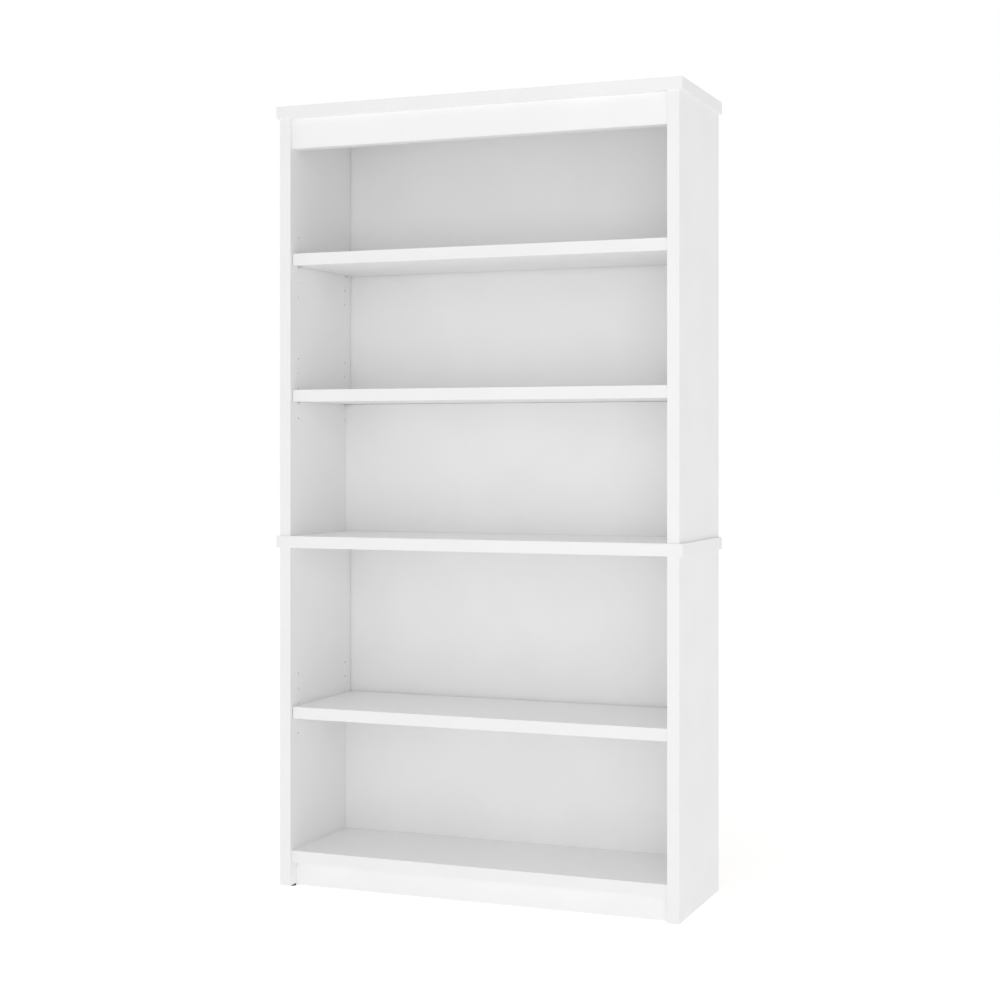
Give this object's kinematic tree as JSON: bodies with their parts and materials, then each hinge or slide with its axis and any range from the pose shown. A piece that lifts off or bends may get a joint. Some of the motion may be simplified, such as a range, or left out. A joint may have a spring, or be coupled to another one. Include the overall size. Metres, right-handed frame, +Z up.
{
  "type": "bookcase",
  "caption": "Tall open bookcase in white laminated board: two sections, a full-width middle panel, adjustable shelves on pins, levelling feet.",
  "frame": {"origin": "on the floor, under the middle of the case's width and depth", "axes": "+Z up, -Y towards the open front, +X to the right as seen from the front"},
  "size_m": [0.902, 0.301, 1.673],
  "materials": {
    "white_laminate": "satin",
    "white_edge_band": "satin",
    "white_hardboard": "satin",
    "nickel_plated_steel": "polished",
    "zinc_plated_steel": "satin",
    "cast_zinc": "matte",
    "black_plastic": "matte",
    "beech": "raw"
  },
  "bodies": {
    "root": {"back_panel_nails": "zinc_plated_steel", "back_rail_edge_bands": "white_edge_band", "back_rail_screws": "zinc_plated_steel", "bottom_shelf": "white_laminate", "bottom_shelf_edge_band": "white_edge_band", "cam_bolts": "zinc_plated_steel", "cam_locks": "cast_zinc", "dowels": "beech", "foot_inserts": "zinc_plated_steel", "lower_back_panel": "white_hardboard", "lower_back_rail": "white_laminate", "lower_left_side": "white_laminate", "lower_right_side": "white_laminate", "lower_side_edge_bands": "white_edge_band", "mid_panel": "white_laminate", "mid_panel_edge_band": "white_edge_band", "mid_panel_screws": "zinc_plated_steel", "toe_kick": "white_laminate", "top_panel": "white_laminate", "top_panel_edge_band": "white_edge_band", "top_rail": "white_laminate", "top_rail_edge_band": "white_edge_band", "upper_back_panel": "white_hardboard", "upper_back_rail": "white_laminate", "upper_left_side": "white_laminate", "upper_right_side": "white_laminate", "upper_side_edge_bands": "white_edge_band"},
    "upper_shelf": {"upper_shelf": "white_laminate", "upper_shelf_edge_band": "white_edge_band"},
    "middle_shelf": {"middle_shelf": "white_laminate", "middle_shelf_edge_band": "white_edge_band"},
    "lower_shelf": {"lower_shelf": "white_laminate", "lower_shelf_edge_band": "white_edge_band"},
    "upper_shelf_pin_front_left": {"upper_shelf_pin_front_left": "nickel_plated_steel"},
    "upper_shelf_pin_front_right": {"upper_shelf_pin_front_right": "nickel_plated_steel"},
    "upper_shelf_pin_back_left": {"upper_shelf_pin_back_left": "nickel_plated_steel"},
    "upper_shelf_pin_back_right": {"upper_shelf_pin_back_right": "nickel_plated_steel"},
    "middle_shelf_pin_front_left": {"middle_shelf_pin_front_left": "nickel_plated_steel"},
    "middle_shelf_pin_front_right": {"middle_shelf_pin_front_right": "nickel_plated_steel"},
    "middle_shelf_pin_back_left": {"middle_shelf_pin_back_left": "nickel_plated_steel"},
    "middle_shelf_pin_back_right": {"middle_shelf_pin_back_right": "nickel_plated_steel"},
    "lower_shelf_pin_front_left": {"lower_shelf_pin_front_left": "nickel_plated_steel"},
    "lower_shelf_pin_front_right": {"lower_shelf_pin_front_right": "nickel_plated_steel"},
    "lower_shelf_pin_back_left": {"lower_shelf_pin_back_left": "nickel_plated_steel"},
    "lower_shelf_pin_back_right": {"lower_shelf_pin_back_right": "nickel_plated_steel"},
    "foot_front_left": {"foot_pad_front_left": "black_plastic", "foot_stud_front_left": "zinc_plated_steel"},
    "foot_front_right": {"foot_pad_front_right": "black_plastic", "foot_stud_front_right": "zinc_plated_steel"},
    "foot_back_left": {"foot_pad_back_left": "black_plastic", "foot_stud_back_left": "zinc_plated_steel"},
    "foot_back_right": {"foot_pad_back_right": "black_plastic", "foot_stud_back_right": "zinc_plated_steel"}
  },
  "joints": [
    {"name": "upper_shelf_lift", "type": "slide", "parent": "root", "child": "upper_shelf", "axis": [0, 0, 1], "range_m": [0, 0.064]},
    {"name": "middle_shelf_lift", "type": "slide", "parent": "root", "child": "middle_shelf", "axis": [0, 0, 1], "range_m": [0, 0.096]},
    {"name": "lower_shelf_lift", "type": "slide", "parent": "root", "child": "lower_shelf", "axis": [0, 0, 1], "range_m": [0, 0.096]},
    {"name": "upper_shelf_pin_front_left_pull", "type": "slide", "parent": "root", "child": "upper_shelf_pin_front_left", "axis": [1, 0, 0], "range_m": [0, 0.0095]},
    {"name": "upper_shelf_pin_front_right_pull", "type": "slide", "parent": "root", "child": "upper_shelf_pin_front_right", "axis": [-1, 0, 0], "range_m": [0, 0.0095]},
    {"name": "upper_shelf_pin_back_left_pull", "type": "slide", "parent": "root", "child": "upper_shelf_pin_back_left", "axis": [1, 0, 0], "range_m": [0, 0.0095]},
    {"name": "upper_shelf_pin_back_right_pull", "type": "slide", "parent": "root", "child": "upper_shelf_pin_back_right", "axis": [-1, 0, 0], "range_m": [0, 0.0095]},
    {"name": "middle_shelf_pin_front_left_pull", "type": "slide", "parent": "root", "child": "middle_shelf_pin_front_left", "axis": [1, 0, 0], "range_m": [0, 0.0095]},
    {"name": "middle_shelf_pin_front_right_pull", "type": "slide", "parent": "root", "child": "middle_shelf_pin_front_right", "axis": [-1, 0, 0], "range_m": [0, 0.0095]},
    {"name": "middle_shelf_pin_back_left_pull", "type": "slide", "parent": "root", "child": "middle_shelf_pin_back_left", "axis": [1, 0, 0], "range_m": [0, 0.0095]},
    {"name": "middle_shelf_pin_back_right_pull", "type": "slide", "parent": "root", "child": "middle_shelf_pin_back_right", "axis": [-1, 0, 0], "range_m": [0, 0.0095]},
    {"name": "lower_shelf_pin_front_left_pull", "type": "slide", "parent": "root", "child": "lower_shelf_pin_front_left", "axis": [1, 0, 0], "range_m": [0, 0.0095]},
    {"name": "lower_shelf_pin_front_right_pull", "type": "slide", "parent": "root", "child": "lower_shelf_pin_front_right", "axis": [-1, 0, 0], "range_m": [0, 0.0095]},
    {"name": "lower_shelf_pin_back_left_pull", "type": "slide", "parent": "root", "child": "lower_shelf_pin_back_left", "axis": [1, 0, 0], "range_m": [0, 0.0095]},
    {"name": "lower_shelf_pin_back_right_pull", "type": "slide", "parent": "root", "child": "lower_shelf_pin_back_right", "axis": [-1, 0, 0], "range_m": [0, 0.0095]},
    {"name": "foot_front_left_turn_down", "type": "slide", "parent": "root", "child": "foot_front_left", "axis": [0, 0, -1], "range_m": [0, 0.012]},
    {"name": "foot_front_right_turn_down", "type": "slide", "parent": "root", "child": "foot_front_right", "axis": [0, 0, -1], "range_m": [0, 0.012]},
    {"name": "foot_back_left_turn_down", "type": "slide", "parent": "root", "child": "foot_back_left", "axis": [0, 0, -1], "range_m": [0, 0.012]},
    {"name": "foot_back_right_turn_down", "type": "slide", "parent": "root", "child": "foot_back_right", "axis": [0, 0, -1], "range_m": [0, 0.012]}
  ]
}
